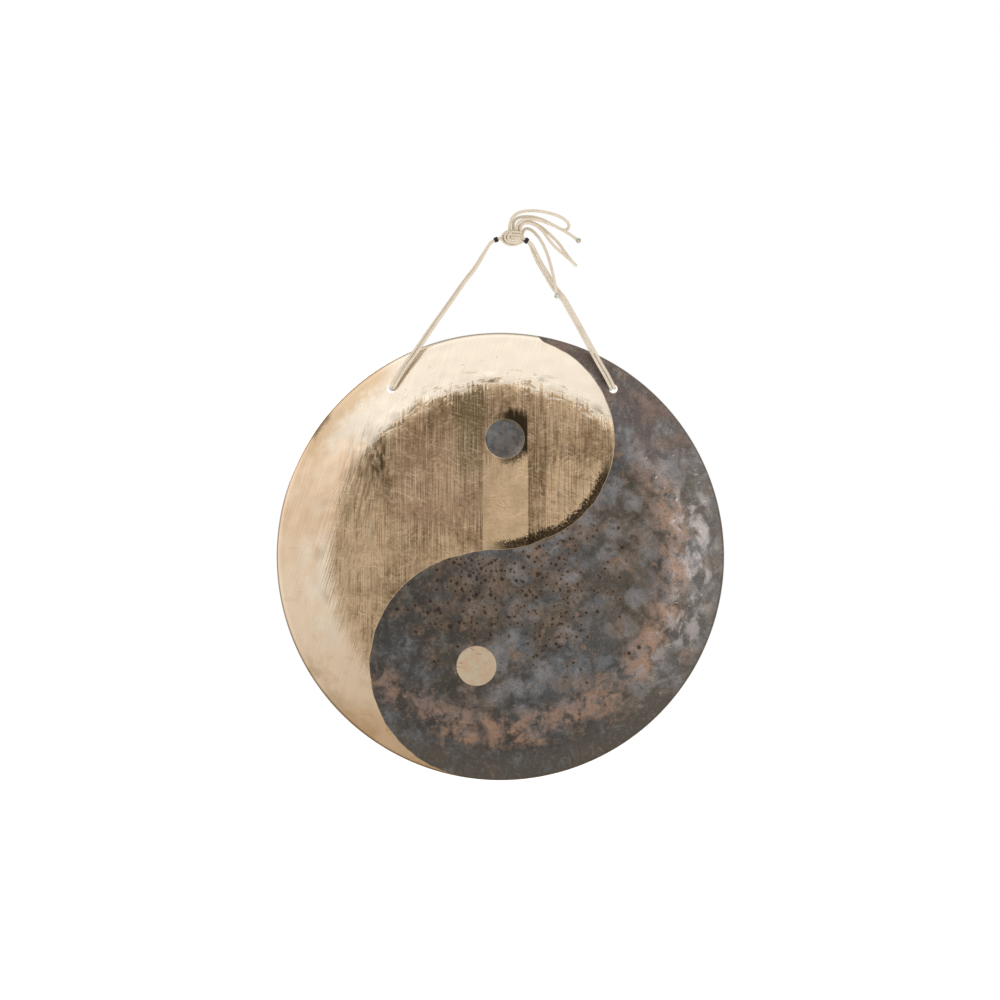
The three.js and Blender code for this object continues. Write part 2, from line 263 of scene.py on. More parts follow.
class Tubes:
    """Collects closed tubes into one mesh. Its points keep how high the surface stands there, and
    their lay: how far along the tube and round it they are."""

    def __init__(self):
        self.points, self.faces, self.heights, self.lays = [], [], [], []
        self.count = 0

    def add(self, line, radius, sides=CORD_SIDES, height=None, depth=0.0, start=0.0, frames=None):
        """A tube along the line. height(along, angle) lowers its surface by up to depth."""
        side, up = frames or carried_frames(line)
        angle = np.linspace(0, 2 * np.pi, sides, endpoint=False)
        along, angle = np.broadcast_arrays(start + distances_along(line)[:, None], angle)
        stands = height(along, angle) if height else np.ones(along.shape)
        radii = np.broadcast_to(np.atleast_1d(radius), (len(line),))[:, None]
        reach = (radii - depth * (1 - stands))[..., None]
        ring = side[:, None, :] * np.cos(angle)[..., None] + up[:, None, :] * np.sin(angle)[..., None]
        points = (line[:, None, :] + ring * reach).reshape(-1, 3)

        rings = len(line)
        first = np.arange(sides)
        beside = (first + 1) % sides
        starts = np.arange(rings - 1)[:, None] * sides
        here, there = starts + first, starts + beside
        quads = np.stack([here, there, there + sides, here + sides], -1).reshape(-1, 4)
        last = (rings - 1) * sides
        caps = [(rings * sides, b, a) for a, b in zip(first, beside)]
        caps += [(rings * sides + 1, last + a, last + b) for a, b in zip(first, beside)]
        self.points.append(np.vstack([points, line[0], line[-1]]))
        self.faces += (quads + self.count).tolist()
        self.faces += (np.array(caps) + self.count).tolist()
        self.heights.append(np.concatenate([stands.reshape(-1), [0, 0]]))
        lay = np.stack([along.reshape(-1), angle.reshape(-1), np.zeros(along.size)], 1)
        self.lays.append(np.vstack([lay, np.zeros((2, 3))]))
        self.count += rings * sides + 2

    def add_cord(self, line, start=0.0, frames=None):
        self.add(line, CORD_DIAMETER / 2, CORD_SIDES, braid, BRAID_DEPTH, start, frames)

    def made(self, name, material, slot, *nodes):
        """The collected tubes as one smooth piece that stands for those nodes."""
        mesh = bpy.data.meshes.new(name)
        mesh.from_pydata(np.vstack(self.points).tolist(), [], self.faces)
        mesh.shade_smooth()
        write_attribute(mesh, "height", np.concatenate(self.heights))
        write_attribute(mesh, "lay", np.vstack(self.lays))
        mesh.materials.append(material)
        piece = placed(name, mesh)
        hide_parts(*nodes)
        return piece


def placed(name, data):
    piece = bpy.data.objects.new(name, data)
    bpy.context.scene.collection.objects.link(piece)
    return piece


def write_attribute(mesh, name, values):
    """Keeps a number or a vector with every point of a mesh."""
    kind, field = ("FLOAT", "value") if values.ndim == 1 else ("FLOAT_VECTOR", "vector")
    attribute = mesh.attributes.new(name, kind, "POINT")
    attribute.data.foreach_set(field, values.astype(np.float32).reshape(-1))


def read_vectors(items, name):
    """A named vector of every point, face or normal of a mesh, as rows."""
    values = np.zeros(len(items) * 3, np.float32)
    items.foreach_get(name, values)
    return values.reshape(-1, 3)


# ---- Camera ----


def make_camera():
    lens = bpy.data.cameras.new("camera")
    lens.lens = lens.sensor_width * CAMERA_DISTANCE / FRAME_WIDTH
    camera = placed("camera", lens)
    camera.location = (FRAME_CENTRE[0], DISC_CENTRE.y - CAMERA_DISTANCE, FRAME_CENTRE[1])
    camera.rotation_euler = (math.radians(90), 0, 0)
    bpy.context.scene.camera = camera


# ---- Materials ----


class Graph:
    """A node tree, built by what each node does."""

    def __init__(self, tree):
        self.tree = tree

    def node(self, kind, inputs, **settings):
        made = self.tree.nodes.new(kind)
        for key, value in settings.items():
            setattr(made, key, value)
        for key, value in inputs.items():
            self.plug(made.inputs[key], value)
        return made

    def plug(self, socket, value):
        if isinstance(value, bpy.types.NodeSocket):
            self.tree.links.new(value, socket)
        elif isinstance(value, tuple) and socket.type == "RGBA":
            socket.default_value = (*value, 1)
        else:
            socket.default_value = value

    def math(self, operation, a, b=0.0):
        return self.node("ShaderNodeMath", {0: a, 1: b}, operation=operation).outputs[0]

    def chained(self, operation, values):
        total, *others = values
        for other in others:
            total = self.math(operation, total, other)
        return total

    def product(self, *factors):
        """The factors multiplied. One that is given as (value, low, high) is the share of those."""
        values = [self.share(*each) if isinstance(each, tuple) else each for each in factors]
        return self.chained("MULTIPLY", values)

    def add(self, *terms):
        return self.chained("ADD", terms)

    def largest(self, *values):
        return self.chained("MAXIMUM", values)

    def signed(self, value, size):
        """A noise of 0 to 1 as a number that goes from -size/2 to size/2."""
        return self.product(self.math("SUBTRACT", value, 0.5), size)

    def share(self, value, low, high):
        """0 where value is low and 1 where it is high, smoothly between. low may be the larger."""
        limits = {"Value": value, "From Min": low, "From Max": high}
        return self.node("ShaderNodeMapRange", limits, interpolation_type="SMOOTHSTEP").outputs[0]

    def between(self, value, low, high, soft):
        """1 where value lies from low to high, fading over soft outside them."""
        return self.product(self.share(value, low - soft, low), self.share(value, high + soft, high))

    def mix(self, share, a, b):
        return self.node("ShaderNodeMix", {0: share, 6: a, 7: b}, data_type="RGBA").outputs[2]

    def painted(self, colour, *coats):
        """The colour under coats of others, each given as how strong it is, in factors, and last
        its own colour."""
        for *factors, coat in coats:
            colour = self.mix(self.product(*factors), colour, coat)
        return colour

    def blend(self, share, a, b):
        return self.node("ShaderNodeMix", {0: share, 2: a, 3: b}).outputs[0]

    def vector(self, operation, a, b):
        return self.node("ShaderNodeVectorMath", {0: a, 1: b}, operation=operation).outputs["Vector"]

    def distance(self, a, b):
        return self.node("ShaderNodeVectorMath", {0: a, 1: b}, operation="DISTANCE").outputs["Value"]

    def split(self, vector):
        return self.node("ShaderNodeSeparateXYZ", {0: vector}).outputs

    def joined(self, x, y, z):
        return self.node("ShaderNodeCombineXYZ", {0: x, 1: y, 2: z}).outputs[0]

    def turned(self, vector, degrees):
        angle = (0, math.radians(degrees), 0)
        return self.node("ShaderNodeMapping", {"Vector": vector, "Rotation": angle}).outputs[0]

    def noise(self, vector, scale, detail=3.0, roughness=0.5, distortion=0.0):
        inputs = {"Vector": vector, "Scale": scale, "Detail": detail, "Roughness": roughness}
        inputs["Distortion"] = distortion
        return self.node("ShaderNodeTexNoise", inputs).outputs[0]

    def streaks(self, vector, across, along, detail=3.0, distortion=0.0):
        """Noise drawn out along z: fine across x, with that many grains each way."""
        drawn = self.vector("MULTIPLY", vector, (across, 1, along))
        return self.noise(drawn, 1.0, detail, 0.5, distortion)

    def cells(self, x, z, scale, smoothness=None):
        """Cells scattered over the face, about scale of them to a disc radius: how far it is to a
        cell's middle, and three numbers of the cell's own. A smoothness softens their borders."""
        inputs = {"Vector": self.joined(x, z, 0.0), "Scale": scale}
        settings = {"voronoi_dimensions": "2D"}
        if smoothness is not None:
            inputs["Smoothness"] = smoothness
            settings["feature"] = "SMOOTH_F1"
        made = self.node("ShaderNodeTexVoronoi", inputs, **settings)
        return made.outputs["Distance"], self.split(made.outputs["Color"])

    def object_place(self):
        return self.node("ShaderNodeTexCoord", {}).outputs["Object"]

    def attribute(self, name, output):
        return self.node("ShaderNodeAttribute", {}, attribute_name=name).outputs[output]

    def bump(self, height, distance, strength):
        inputs = {"Height": height, "Distance": distance, "Strength": strength}
        return self.node("ShaderNodeBump", inputs).outputs[0]


class MaterialGraph(Graph):
    """A new material's nodes, round its shader."""

    def __init__(self, name):
        self.material = bpy.data.materials.new(name)
        self.material.use_nodes = True
        super().__init__(self.material.node_tree)
        self.shader = self.tree.nodes["Principled BSDF"]

    def set(self, **inputs):
        """Sets the shader's inputs: underscores in the names stand for spaces."""
        for key, value in inputs.items():
            self.plug(self.shader.inputs[key.replace("_", " ")], value)


def cord_fibre():
    """Cream braided cord with fine fibres, with painted shade in the braid's valleys and the knot's crevices.
    """
    g = MaterialGraph("cord_fibre")
    along, angle, _ = g.split(g.attribute("lay", "Vector"))
    fibre = g.noise(g.joined(g.product(along, 900), g.product(angle, 9), 0), 1.0, 2)
    soil = g.noise(g.object_place(), 70, 4, 0.6)
    cream = g.mix(g.share(soil, 0.3, 0.7), (0.62, 0.54, 0.435), (0.70, 0.625, 0.52))
    # painted shade: the braid's valleys greyer than its crowns
    height = g.share(g.attribute("height", "Fac"), 0.0, 0.7)
    colour = g.painted(
        g.mix(height, (0.57, 0.49, 0.395), cream),
        (fibre, 0.15, (0.72, 0.66, 0.56)),
        # painted shade in the knot's crevices
        (g.attribute("crevice_shade", "Fac"), 0.85, (0.24, 0.18, 0.12)),
    )
    g.set(Base_Color=colour, Roughness=g.blend(fibre, 0.62, 0.85))
    g.set(Sheen_Weight=0.25, Sheen_Roughness=0.4)
    g.set(Normal=g.bump(fibre, 0.00012, 0.6))
    return g.material


def black_thread():
    """Waxed black thread, its turns worn grey on their crowns."""
    g = MaterialGraph("black_thread")
    along, angle, _ = g.split(g.attribute("lay", "Vector"))
    ply = g.math("SINE", g.add(g.product(along, 5200), g.product(angle, 2)))
    worn = g.noise(g.object_place(), 900, 3)
    g.set(Base_Color=g.mix(g.share(worn, 0.45, 0.8), (0.012, 0.010, 0.010), (0.055, 0.048, 0.045)))
    g.set(Roughness=g.blend(worn, 0.42, 0.7))
    g.set(Normal=g.bump(ply, 0.00008, 0.7))
    return g.material


def melted_end():
    """The cord's own fibre melted to a grey-green glassy lump, charred in places."""
    g = MaterialGraph("melted_end")
    place = g.object_place()
    cloud = g.noise(place, 420, 3)
    char = g.noise(place, 260, 2)
    clear = g.mix(g.share(cloud, 0.35, 0.65), (0.30, 0.30, 0.22), (0.62, 0.60, 0.50))
    g.set(Base_Color=g.mix(g.share(char, 0.56, 0.68), clear, (0.05, 0.045, 0.04)))
    g.set(Roughness=g.blend(cloud, 0.16, 0.4))
    g.set(Subsurface_Weight=0.25, Subsurface_Scale=0.002)
    g.set(Normal=g.bump(cloud, 0.0003, 0.4))
    return g.material


# All in disc radii from the disc's centre. The dividing line is two lobes of a circle each.
UPPER_LOBE, UPPER_LOBE_RADIUS = (0.04, 0, 0.517), 0.467
LOWER_LOBE, LOWER_LOBE_RADIUS = (-0.079, 0, -0.486), 0.502
DARK_DOT, DARK_DOT_RADIUS = (0.0194, 0, 0.5243), 0.0862
BRIGHT_DOT, BRIGHT_DOT_RADIUS = (-0.106, 0, -0.485), 0.0884
LOBE_BLEND = 0.2  # how far to each side of the middle one lobe's line runs into the other's
HAMMERED_SHARE = 0.765  # of the radius: the hand-hammered middle inside the smooth outer ring
EDGE_SOFTNESS = 0.002  # of the dividing line and the dots
PIT_SIZES = ((13.0, 0.0080), (21.0, 0.0064), (34.0, 0.0045))  # cells to a radius, and a pit's radius
CELL_SMOOTHNESS = 0.35
DARK_METALLIC = 0.62
DISC_BUMP = (0.00025, 0.5)  # how deep the finest marks are, and how strongly they shade


class DiscGraph(MaterialGraph):
    """A disc material's nodes, with where a point is in disc radii: flat (x, 0, z), its distance
    out, and its turn from the top in radians, positive to the right."""

    def __init__(self, name):
        super().__init__(name)
        centred = self.vector("SUBTRACT", self.object_place(), tuple(DISC_CENTRE))
        self.x, _, self.z = self.split(self.vector("MULTIPLY", centred, (1 / DISC_RADIUS,) * 3))
        self.flat = self.joined(self.x, 0.0, self.z)
        self.out = self.distance(self.flat, (0, 0, 0))
        self.turn = self.math("ARCTAN2", self.x, self.z)

    def wisps(self, around, outward, detail=4.0):
        """Noise drawn out round the disc: so many grains to a radian, and to a disc radius."""
        polar = self.joined(self.product(self.turn, around), 0.0, self.product(self.out, outward))
        return self.noise(polar, 1.0, detail, 0.6, 0.4)


def bright_side(g):
    """How far inside the bright half a point is, in disc radii: negative in the dark half."""
    wander = g.signed(g.noise(g.flat, 14, 2), 0.012)
    inside_upper = g.math("SUBTRACT", UPPER_LOBE_RADIUS, g.distance(g.flat, UPPER_LOBE))
    outside_lower = g.math("SUBTRACT", g.distance(g.flat, LOWER_LOBE), LOWER_LOBE_RADIUS)
    right = g.share(g.x, -LOBE_BLEND, LOBE_BLEND)
    return g.add(g.blend(right, outside_lower, inside_upper), wander)


def in_dot(g, middle, radius):
    """1 inside a dot and 0 outside it."""
    return g.share(g.distance(g.flat, middle), radius + EDGE_SOFTNESS, radius - EDGE_SOFTNESS)


def patch(g, x, z, width, height, soft):
    """A soft oval patch, 1 in its middle, with its edge drawn out in streaks."""
    moved = g.vector("SUBTRACT", g.flat, (x, 0, z))
    scaled = g.vector("MULTIPLY", moved, (1 / width, 1, 1 / height))
    out = g.add(g.distance(scaled, (0, 0, 0)), g.signed(g.streaks(g.flat, 60, 5), 0.5))
    return g.share(out, 1 + soft / 2, 1 - soft / 2)


LIGHT_STRIP = (-0.076, 0.122)  # from x to x, of the lightest one
# Strips sanded with one straight pass each: from x to x, from z to z, and their tone.
SANDED_STRIPS = (
    (*LIGHT_STRIP, 0.03, 0.42, 0.80),
    (-0.20, -0.076, 0.46, 0.80, -0.24),
    (-0.145, -0.076, 0.10, 0.80, -0.10),
    (0.122, 0.205, 0.30, 0.62, -0.30),
    (0.122, 0.150, 0.02, 0.40, -0.14),
    (-0.516, -0.30, 0.30, 0.60, -0.16),
    (0.205, 0.45, 0.10, 0.40, 0.46),
    (-0.30, -0.20, 0.05, 0.40, 0.16),
    (-0.62, -0.516, 0.02, 0.30, 0.20),
)
STRIP_EDGE = 0.004  # how softly a strip's long edges fade


def strip_tone(g, along):
    """The sum of the sanded strips' tones: sharp at their long edges and ragged at their ends."""
    tones = []
    for left, right, low, high, tone in SANDED_STRIPS:
        across = g.between(g.x, left, right, STRIP_EDGE)
        tones.append(g.product(across, g.between(along, low, high, 0.05), tone))
    return g.add(*tones)


def brushed_bronze(g, fine, crossing, slanting, crumpled):
    """The middle's colour: upright brushing in strips and clouds, crossed by short scratches."""
    x, z, flat = g.x, g.z, g.flat
    along_strips = g.add(z, g.signed(g.streaks(flat, 120, 3), 0.25))
    tone = g.add(
        g.signed(g.streaks(flat, 75, 5, 5), 1.2),
        strip_tone(g, along_strips),
        g.signed(g.noise(flat, 4.2, 5, 0.6, 0.5), 2.1),
        g.signed(g.noise(flat, 24, 6, 0.72, 1.0), 1.7),
        g.product((z, 0.25, 0.75), -0.13),
        g.product((x, -0.3, -0.62), 0.22),
    )
    pinkish = g.product(g.between(x, -0.42, -0.1, 0.12), g.between(z, 0.2, 0.5, 0.15))
    olive = g.product(g.between(x, -0.17, -0.10, 0.05), g.between(z, 0.42, 0.72, 0.12))
    pressed = g.noise(flat, 9, 4, 0.6)
    smooth = g.product(g.between(x, *LIGHT_STRIP, STRIP_EDGE), (along_strips, 0.46, 0.38))
    slanted = g.product((x, -0.5, -0.66), (z, 0.4, 0.1))
    return g.painted(
        g.mix(g.share(tone, -0.72, 0.72), (0.235, 0.145, 0.074), (0.98, 0.735, 0.485)),
        (pinkish, 0.4, (0.56, 0.36, 0.26)),
        (olive, 0.55, (0.22, 0.18, 0.09)),
        ((fine, 0.52, 0.66), (pressed, 0.35, 0.62), 0.8, (1.0, 0.84, 0.64)),
        ((fine, 0.48, 0.34), g.blend(smooth, 0.7, 0.12), (0.19, 0.12, 0.06)),
        ((crossing, 0.50, 0.66), 0.24, (1.0, 0.82, 0.58)),
        (smooth, (pressed, 0.46, 0.60), 0.45, (0.66, 0.48, 0.28)),
        # painted highlight and painted shade on the crumpled relief
        ((crumpled, 0.54, 0.68), 0.40, (1.0, 0.82, 0.61)),
        ((crumpled, 0.47, 0.36), g.blend(smooth, 0.34, 0.12), (0.27, 0.175, 0.10)),
        (slanted, (slanting, 0.45, 0.62), 0.6, (0.98, 0.76, 0.53)),
        (slanted, (slanting, 0.46, 0.32), 0.3, (0.38, 0.25, 0.15)),
    )


def polished_bronze(g, slanting):
    """The outer ring's colour: painted cream highlight at the top, peach at the left, painted amber
    reflection low down.
    """
    x, z, out, flat = g.x, g.z, g.out, g.flat
    cloud = g.noise(flat, 5, 5, 0.6, 0.6)
    # painted highlight: a pale cream band along the inside of the ring at the left
    pale_highlight = g.product((out, 0.92, 0.84), (x, -0.55, -0.7))
    pale_highlight = g.product(pale_highlight, g.between(z, -0.35, 0.02, 0.15), (cloud, 0.38, 0.58))
    blotched = g.share(g.noise(flat, 13, 6, 0.7, 0.5), 0.54, 0.68)
    feathers = g.noise(g.vector("MULTIPLY", g.turned(flat, 45), (6, 1, 24)), 1.0, 5, 0.65)
    # painted highlight: paler cream towards the top, where the light above reflects
    cream = g.share(g.add(z, g.signed(feathers, 0.35)), 0.44, 0.56)
    frayed = g.wisps(22, 30)
    by_rim = g.add(out, g.signed(frayed, 0.14))
    tanned = g.product((by_rim, 0.88, 0.97), g.between(g.turn, -1.02, -0.62, 0.16))
    smear = g.share(g.add(out, g.signed(frayed, 0.05)), 0.965, 0.99)
    smear = g.product(smear, g.between(g.turn, -0.98, -0.90, 0.05))
    # darker brown clouds by the rim towards the bottom
    darker_low_by_rim = g.product((by_rim, 0.90, 0.99), (z, -0.35, -0.55), (cloud, 0.32, 0.55))
    # painted reflection: amber low down on the ring
    amber_reflection = g.share(g.add(z, g.signed(cloud, 0.4)), -0.60, -0.76)
    nicked = g.product((g.wisps(18, 110, 3), 0.66, 0.72), (out, 0.95, 0.86))
    return g.painted(
        g.mix(g.share(cloud, 0.3, 0.7), (0.85, 0.63, 0.445), (0.96, 0.785, 0.605)),
        ((z, 0.1, -0.25), 1.0, (1.0, 0.84, 0.67)),
        (pale_highlight, 0.7, (1.0, 0.92, 0.80)),
        (blotched, 0.35, (0.76, 0.56, 0.39)),
        (cream, 1.0, (0.85, 0.77, 0.66)),
        ((slanting, 0.5, 0.7), 0.35, (1.0, 0.90, 0.75)),
        ((slanting, 0.44, 0.30), 0.25, (0.72, 0.52, 0.35)),
        (tanned, 0.8, (0.68, 0.485, 0.30)),
        (smear, 0.8, (0.20, 0.12, 0.065)),
        (darker_low_by_rim, 0.6, (0.56, 0.40, 0.24)),
        (amber_reflection, g.blend(blotched, 0.45, 0.85), (0.68, 0.44, 0.21)),
        (nicked, cream, 0.7, (0.28, 0.21, 0.13)),
    )


def bright_half(g):
    """Scratch-brushed bronze in the middle and smooth polished bronze round it."""
    flat, out = g.flat, g.out
    fine = g.streaks(flat, 240, 4.5)
    slanting = g.streaks(g.turned(flat, -17), 170, 3.5)
    upward = g.streaks(g.turned(flat, 68), 140, 28, 3, 0.5)
    downward = g.streaks(g.turned(flat, -72), 140, 28, 3, 0.5)
    clumps = g.share(g.noise(flat, 6, 4), 0.44, 0.58)
    crossing = g.blend(clumps, upward, g.largest(upward, downward))
    creased_up = g.streaks(g.turned(flat, 66), 50, 22, 6, 2.2)
    creased_down = g.streaks(g.turned(flat, -58), 42, 19, 6, 2.2)
    crumpled = g.blend(clumps, creased_up, creased_down)

    wisps = g.wisps(9, 40, 6)
    lobes = g.signed(g.noise(flat, 6.5, 4, 0.65, 0.8), 0.13)
    edge = g.add(out, g.signed(wisps, 0.15), lobes, g.signed(g.streaks(flat, 110, 7, 4), 0.13))
    sharp = g.share(edge, HAMMERED_SHARE + 0.012, HAMMERED_SHARE - 0.014)
    faded = g.share(g.add(out, g.signed(slanting, 0.11)), HAMMERED_SHARE + 0.05, HAMMERED_SHARE - 0.06)
    left = g.product((g.x, -0.42, -0.6), (g.z, 0.5, 0.36))
    middle = g.blend(left, sharp, faded)

    # painted highlights and shade of the dents along the top of the hammered edge
    edge_highlight_and_shade = g.between(out, HAMMERED_SHARE - 0.03, HAMMERED_SHARE + 0.05, 0.03)
    edge_highlight_and_shade = g.product(edge_highlight_and_shade, (g.z, 0.4, 0.6))
    brushed = brushed_bronze(g, fine, crossing, slanting, crumpled)
    colour = g.painted(
        g.mix(middle, polished_bronze(g, slanting), brushed),
        (edge_highlight_and_shade, (wisps, 0.56, 0.64), 0.75, (0.40, 0.28, 0.16)),
        (edge_highlight_and_shade, (wisps, 0.44, 0.34), 0.7, (1.0, 0.91, 0.79)),
    )
    ring_rough, brushed_rough = g.blend(slanting, 0.16, 0.25), g.blend(fine, 0.40, 0.28)
    scratches = g.add(g.product(fine, 0.7), g.product(crossing, 0.35), g.product(crumpled, 3.2))
    height = g.blend(middle, g.product(slanting, 0.35), scratches)
    return colour, g.blend(middle, ring_rough, brushed_rough), height


def pits(g):
    """Small burnt pits, each in a brown halo, as two masks: pit and halo. They crowd together
    above the middle of the dark half."""
    crowd = g.product(g.between(g.x, -0.12, 0.22, 0.42), g.between(g.z, -0.26, -0.03, 0.34))
    crowd = g.product(crowd, (g.noise(g.flat, 6, 2), 0.28, 0.62), 0.9)
    pit, halo = 0.0, 0.0
    for scale, radius in PIT_SIZES:
        away, (chance, size, _) = g.cells(g.x, g.z, scale)
        away = g.math("DIVIDE", g.math("DIVIDE", away, scale * radius), g.add(size, 0.55))
        kept = g.math("GREATER_THAN", crowd, chance)
        pit = g.largest(pit, g.product((away, 1.25, 0.5), kept))
        halo = g.largest(halo, g.product((away, 3.6, 1.0), kept))
    return pit, halo


def facets(g):
    """The blows of the hammer as it coloured: how far up a blow's soft dome a point is, and two
    numbers of the blow's own, each from 0 to 1."""
    x = g.add(g.x, g.signed(g.noise(g.flat, 11, 5, 0.65), 0.10))
    z = g.add(g.z, g.signed(g.noise(g.flat, 12, 5, 0.65), -0.10))
    away, (one, other, _) = g.cells(x, z, 9.5, CELL_SMOOTHNESS)
    return g.share(away, 0.66, 0.14), one, other


def dark_half(g, in_dark_dot):
    """Heat-darkened bronze: slate and umber clouds, pits, and a coppery ring outside them."""
    x, z, out, flat = g.x, g.z, g.out, g.flat
    cloud = g.noise(flat, 2.8, 5, 0.6, 0.4)
    mottle = g.noise(flat, 13, 6, 0.74, 0.3)
    smoke = g.noise(flat, 5.5, 6, 0.68, 0.6)
    grain = g.noise(flat, 120, 3, 0.7)
    spotted = g.noise(flat, 52, 5, 0.72)
    around = g.wisps(7, 26, 5)
    domed, pale, brown = facets(g)
    # darker towards the lower left
    low_left_darkening = g.largest(g.share(x, 0.05, -0.3), g.share(z, -0.5, -0.85))
    away_from_low_left = g.math("SUBTRACT", 1.0, g.product(low_left_darkening, 0.75))
    ring = g.between(g.add(out, g.signed(around, 0.16)), 0.735, 0.80, 0.07)
    coppery = g.product(ring, (smoke, 0.38, 0.54), (z, 0.55, 0.1), (mottle, 0.38, 0.56))
    tawny = g.mix(g.share(around, 0.40, 0.60), (0.43, 0.265, 0.175), (0.32, 0.235, 0.205))
    rim = g.product((out, 0.83, 0.93), (mottle, 0.75, 0.35))
    high = g.product((z, 0.3, 0.7), (out, 0.6, 0.75))
    pit, halo = pits(g)
    # glossier patches on the right of the outer ring, their whitish colour a painted highlight
    worn = g.product(g.between(out, 0.79, 0.92, 0.08), (x, 0.45, 0.70))
    worn = g.product(worn, g.between(z, -0.5, 0.20, 0.2), (g.wisps(9, 15, 6), 0.45, 0.62))
    # painted highlights: whitish lines along the turning on the right of the ring
    glint_lines = g.product((g.wisps(60, 26, 2), 0.68, 0.74), g.between(out, 0.74, 0.93, 0.04))
    flecks = g.product((grain, 0.56, 0.70), (mottle, 0.44, 0.58), away_from_low_left)
    browned_dot = g.product(in_dark_dot, (g.noise(flat, 17, 5, 0.65), 0.44, 0.60))
    colour = g.painted(
        g.mix(g.share(cloud, 0.44, 0.58), (0.140, 0.152, 0.168), (0.150, 0.126, 0.103)),
        ((pale, 0.25, 0.65), domed, away_from_low_left, 0.8, (0.262, 0.258, 0.272)),
        ((brown, 0.50, 0.75), domed, 0.7, (0.185, 0.130, 0.092)),
        ((mottle, 0.51, 0.66), away_from_low_left, 0.55, (0.29, 0.285, 0.30)),
        ((domed, 0.45, 0.05), 0.5, (0.060, 0.053, 0.047)),
        ((mottle, 0.49, 0.36), 0.65, (0.066, 0.054, 0.044)),
        (low_left_darkening, (mottle, 0.66, 0.44), 0.7, (0.050, 0.046, 0.044)),
        (coppery, g.blend(g.share(x, -0.1, -0.5), 0.85, 0.5), tawny),
        ((g.noise(flat, 10.5, 6, 0.72, 0.4), 0.575, 0.66), 0.65, (0.33, 0.215, 0.155)),
        (rim, 0.85, (0.118, 0.106, 0.092)),
        (high, (mottle, 0.62, 0.40), 0.75, (0.125, 0.090, 0.085)),
        (high, (smoke, 0.48, 0.60), 0.55, (0.25, 0.17, 0.145)),
        ((spotted, 0.52, 0.66), 0.24, (0.33, 0.29, 0.27)),
        ((spotted, 0.48, 0.36), 0.28, (0.050, 0.042, 0.036)),
        (halo, (mottle, 0.35, 0.6), 0.5, (0.20, 0.125, 0.075)),
        (pit, 0.85, (0.022, 0.015, 0.013)),
        (worn, 0.70, (0.42, 0.385, 0.385)),
        (glint_lines, (x, 0.5, 0.7), 0.75, (0.75, 0.68, 0.62)),
        (flecks, 0.45, (0.42, 0.36, 0.32)),
        ((grain, 0.47, 0.34), 0.45, (0.040, 0.034, 0.030)),
        (browned_dot, 0.5, (0.215, 0.18, 0.165)),
    )
    rough = g.math("SUBTRACT", g.blend(mottle, 0.30, 0.52), g.product(worn, 0.12))
    height = g.add(g.product(grain, 0.6), g.product(pit, -1.6), g.product(domed, 1.2), g.product(mottle, 1.2))
    return colour, rough, height


def soot_on_bright(g, side):
    """Where soot lies: along the lobe's lower right, round the dark dot and in a blot at the left."""
    x, z, flat = g.x, g.z, g.flat
    specks = g.noise(flat, 105, 4, 0.75)
    reach = g.add(side, g.signed(specks, 0.12), g.signed(g.noise(flat, 12, 2), 0.05))
    char = g.product((reach, 0.046, 0.034), (z, 0.46, 0.34), (x, -0.1, 0.05))
    char = g.product(char, g.blend(g.share(specks, 0.48, 0.62), 1.0, 0.8))

    from_dot = g.distance(flat, DARK_DOT)
    hanging = g.add(z, g.signed(g.streaks(flat, 90, 10), 0.14))
    above = g.product((hanging, 0.675, 0.63), (z, 0.44, 0.48), (from_dot, 0.19, 0.12))
    ragged = g.share(g.add(x, g.signed(specks, 0.10)), -0.035, 0.04)
    above = g.product(above, ragged, (x, 0.1215, 0.1190))
    under = g.share(g.add(from_dot, g.signed(specks, 0.12)), 0.125, 0.10)
    under = g.product(under, (z, 0.52, 0.46), (x, -0.03, 0.03), 0.8)

    blotchy = g.share(g.streaks(flat, 60, 22, 5), 0.38, 0.56)
    blot = patch(g, -0.540, 0.43, 0.050, 0.090, 1.1)
    blot = g.product(blot, (x, -0.508, -0.514), blotchy, 0.8)
    rubbed = g.share(g.streaks(g.turned(flat, -12), 80, 9, 4), 0.40, 0.62)
    haze = g.product(patch(g, -0.59, 0.33, 0.10, 0.20, 1.4), rubbed, 0.5)
    return g.largest(char, above, under, blot, haze)


